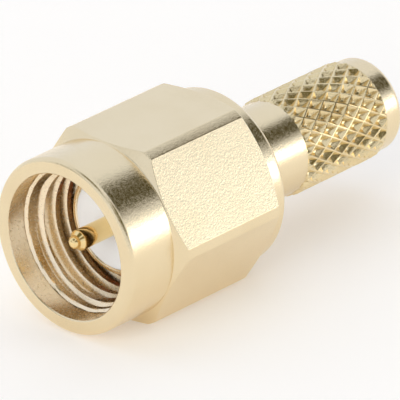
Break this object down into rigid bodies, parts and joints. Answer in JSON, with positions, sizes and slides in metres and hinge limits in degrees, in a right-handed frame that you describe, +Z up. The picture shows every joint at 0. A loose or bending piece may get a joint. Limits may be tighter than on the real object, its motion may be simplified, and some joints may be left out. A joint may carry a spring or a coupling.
{
  "type": "sma connector",
  "caption": "Straight coaxial plug with a hexagonal coupling nut that turns freely, a pin contact in a white insulator, and a knurled crimp stem.",
  "frame": {"origin": "on the axis in the reference plane, the front face of the body's nose, which is also inside the coupling thread", "axes": "+Y along the axis from the mating end to the cable end, +Z up, square to the flat of the nut that the plug lies on"},
  "size_m": [0.009, 0.0189, 0.008],
  "materials": {
    "nut_plate": "satin gold plate, fine blasted grain",
    "body_plate": "satin gold plate",
    "contact_plate": "bright gold plate",
    "fluoropolymer": "matte white",
    "spring_metal": "plain spring bronze",
    "silicone": "matte silicone"
  },
  "bodies": {
    "plug": {"plug_body": "body_plate", "insulator": "fluoropolymer", "pin_contact": "contact_plate", "retaining_ring": "spring_metal", "gasket": "silicone"},
    "nut": {"coupling_nut": "nut_plate"}
  },
  "joints": [
    {"name": "nut_spin", "type": "hinge", "parent": "plug", "child": "nut", "pos_m": [0, 0, 0], "axis": [0, 1, 0], "continuous": true}
  ]
}
